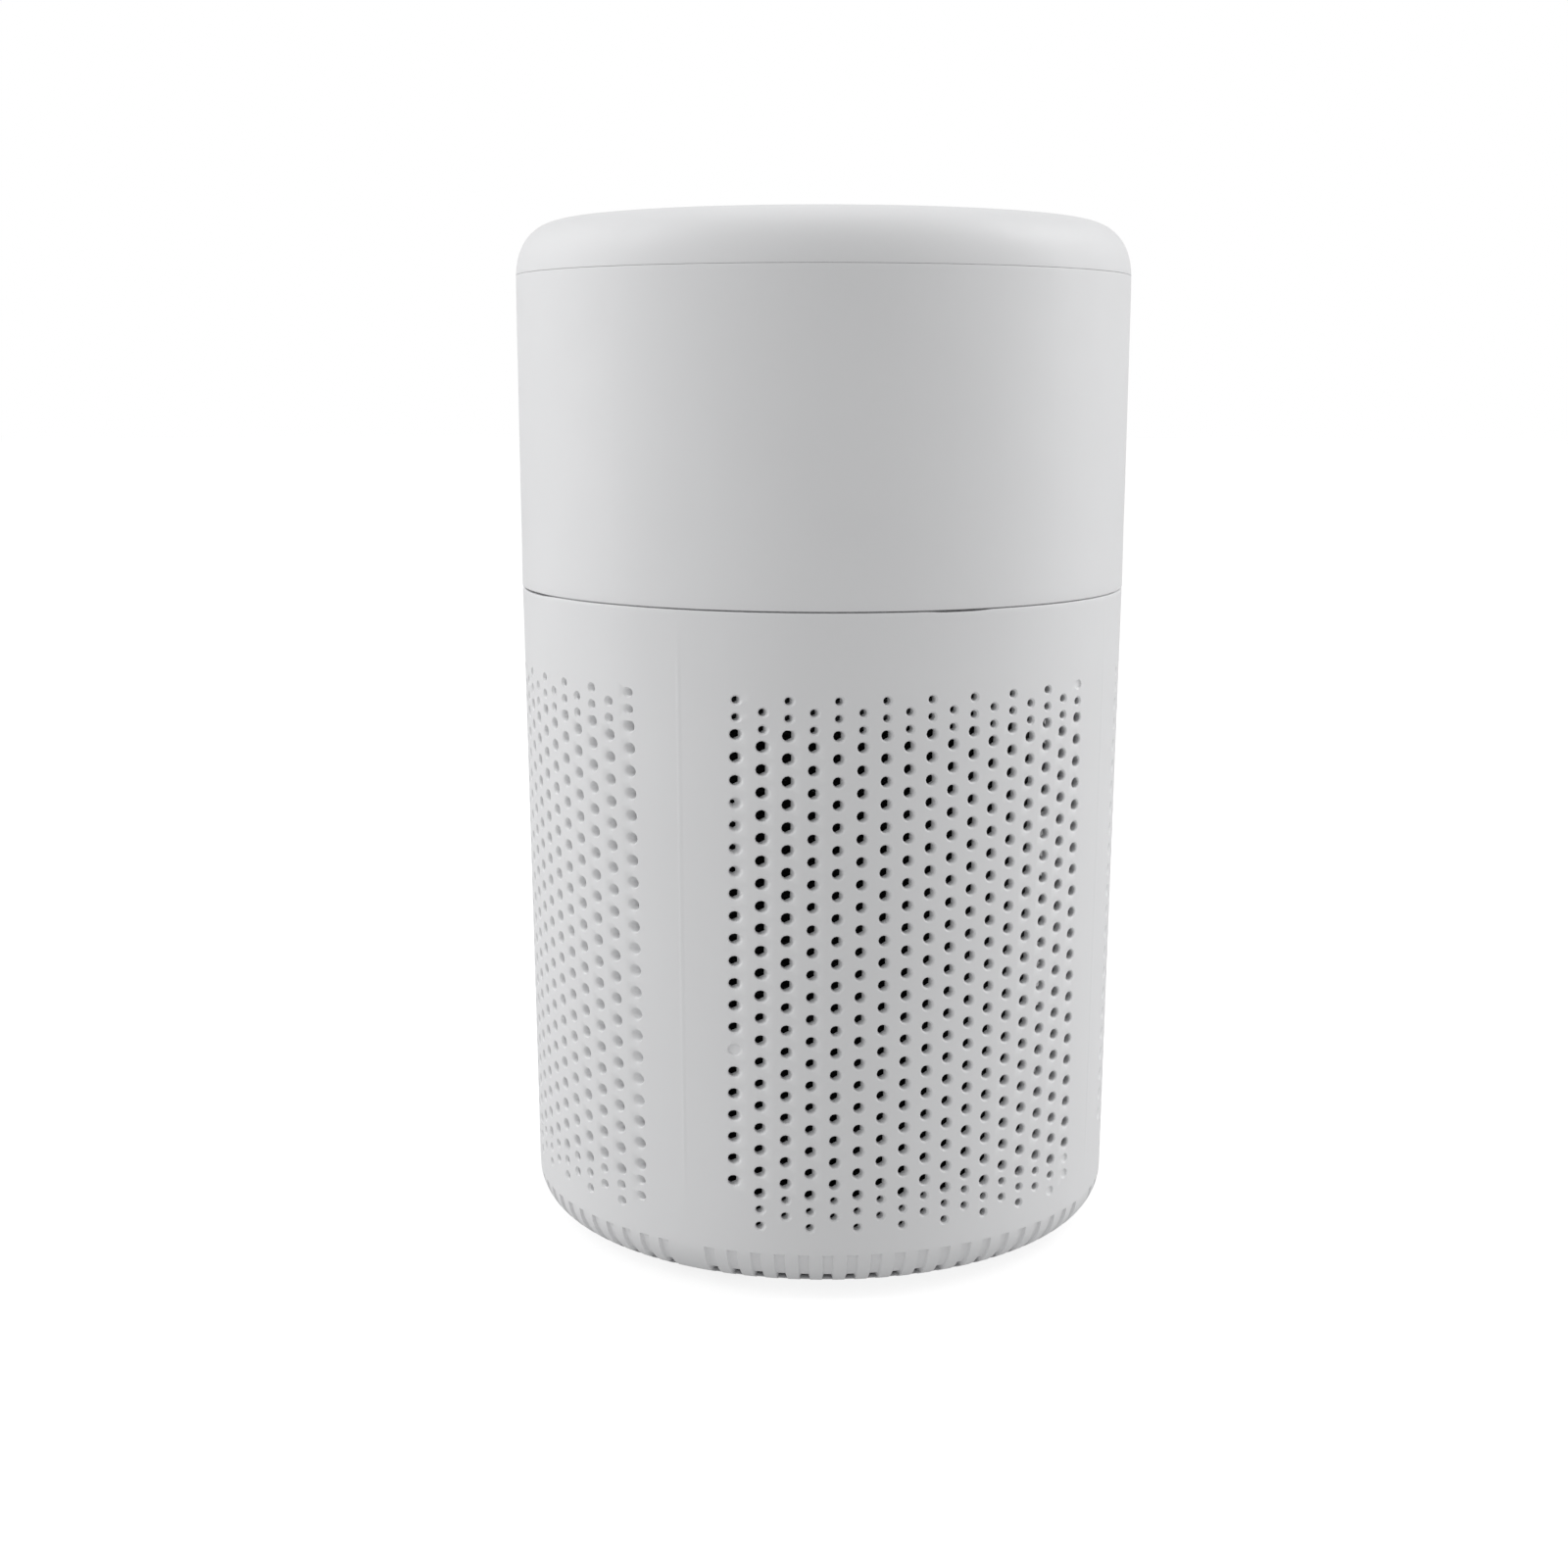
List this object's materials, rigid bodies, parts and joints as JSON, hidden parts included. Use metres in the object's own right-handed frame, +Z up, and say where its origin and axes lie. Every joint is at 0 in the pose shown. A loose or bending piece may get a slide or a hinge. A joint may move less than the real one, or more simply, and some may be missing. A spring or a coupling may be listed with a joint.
{
  "type": "air purifier",
  "caption": "Cylindrical desktop air purifier: rounded cap with outlet grille and button over a plain upper housing and a perforated lower intake shell with a twist-off base",
  "frame": {"origin": "middle of the base, on the surface the rubber feet stand on", "axes": "+Z up along the cylinder's axis, -Y the front, +Y the back with the power socket, +X the right side seen from the front"},
  "size_m": [0.1164, 0.1164, 0.1921],
  "materials": {
    "white_abs": "satin moulded ABS, very light cool grey-white",
    "inner_abs": "matt moulded ABS inside the housing",
    "grey_abs": "dark grey satin ABS",
    "black_abs": "black satin plastic",
    "diffuser": "milky translucent polycarbonate",
    "rubber": "dark grey rubber pad",
    "foam": "black closed-cell foam",
    "filter_paper": "off-white pleated filter paper",
    "carbon": "black activated-carbon felt",
    "prefilter": "charcoal woven pre-filter",
    "steel": "zinc-plated steel",
    "copper": "varnished copper winding",
    "bronze": "sintered bronze",
    "circuit_board": "green solder mask",
    "cable": "black PVC sheath"
  },
  "bodies": {
    "housing": {"lower_shell": "white_abs", "upper_housing": "white_abs", "top_cap": "white_abs", "outlet_grille": "grey_abs", "control_panel": "white_abs", "light_ring": "diffuser", "power_socket": "black_abs", "foot_1": "rubber", "foot_2": "rubber", "foot_3": "rubber", "foot_4": "rubber", "led_ring_board": "circuit_board", "control_box": "inner_abs", "control_board": "circuit_board", "power_switch": "black_abs", "light_switch": "black_abs", "power_lead": "cable", "motor_lead": "cable", "fan_housing": "inner_abs", "motor_base": "steel", "motor_stator": "copper", "bearing_lower": "bronze", "bearing_upper": "bronze", "motor_screw_1": "steel", "motor_screw_2": "steel", "motor_screw_3": "steel", "filter_deck": "inner_abs", "inlet_guard": "inner_abs", "filter_seal": "foam", "filter_top_cap": "grey_abs", "filter_bottom_cap": "grey_abs", "hepa_media": "filter_paper", "carbon_layer": "carbon", "prefilter_mesh": "prefilter", "filter_pull_tab": "black_abs", "deck_screw_1": "steel", "deck_screw_2": "steel", "deck_screw_3": "steel", "deck_screw_4": "steel", "housing_screw_1": "steel", "housing_screw_2": "steel", "housing_screw_3": "steel", "housing_screw_4": "steel", "board_screw_1": "steel", "board_screw_2": "steel"},
    "impeller": {"impeller": "grey_abs", "motor_shaft": "steel", "rotor_cup": "steel"},
    "power_button": {"power_button": "white_abs", "power_plunger": "black_abs"},
    "light_button": {"light_button": "white_abs", "light_plunger": "black_abs"},
    "bottom_cover": {"bottom_cover": "white_abs", "cover_pad": "foam"}
  },
  "joints": [
    {"name": "fan_spin", "type": "hinge", "parent": "housing", "child": "impeller", "pos_m": [0, 0, 0.136], "axis": [0, 0, 1], "continuous": true},
    {"name": "power_press", "type": "slide", "parent": "housing", "child": "power_button", "axis": [0, 0, -1], "range_m": [0, 0.0006], "stiffness_N_per_m": 1500},
    {"name": "light_press", "type": "slide", "parent": "housing", "child": "light_button", "axis": [0, 0, -1], "range_m": [0, 0.0006], "stiffness_N_per_m": 1000},
    {"name": "cover_twist", "type": "hinge", "parent": "housing", "child": "bottom_cover", "pos_m": [0, 0, 0.0035], "axis": [0, 0, -1], "range_deg": [0, 24]}
  ]
}
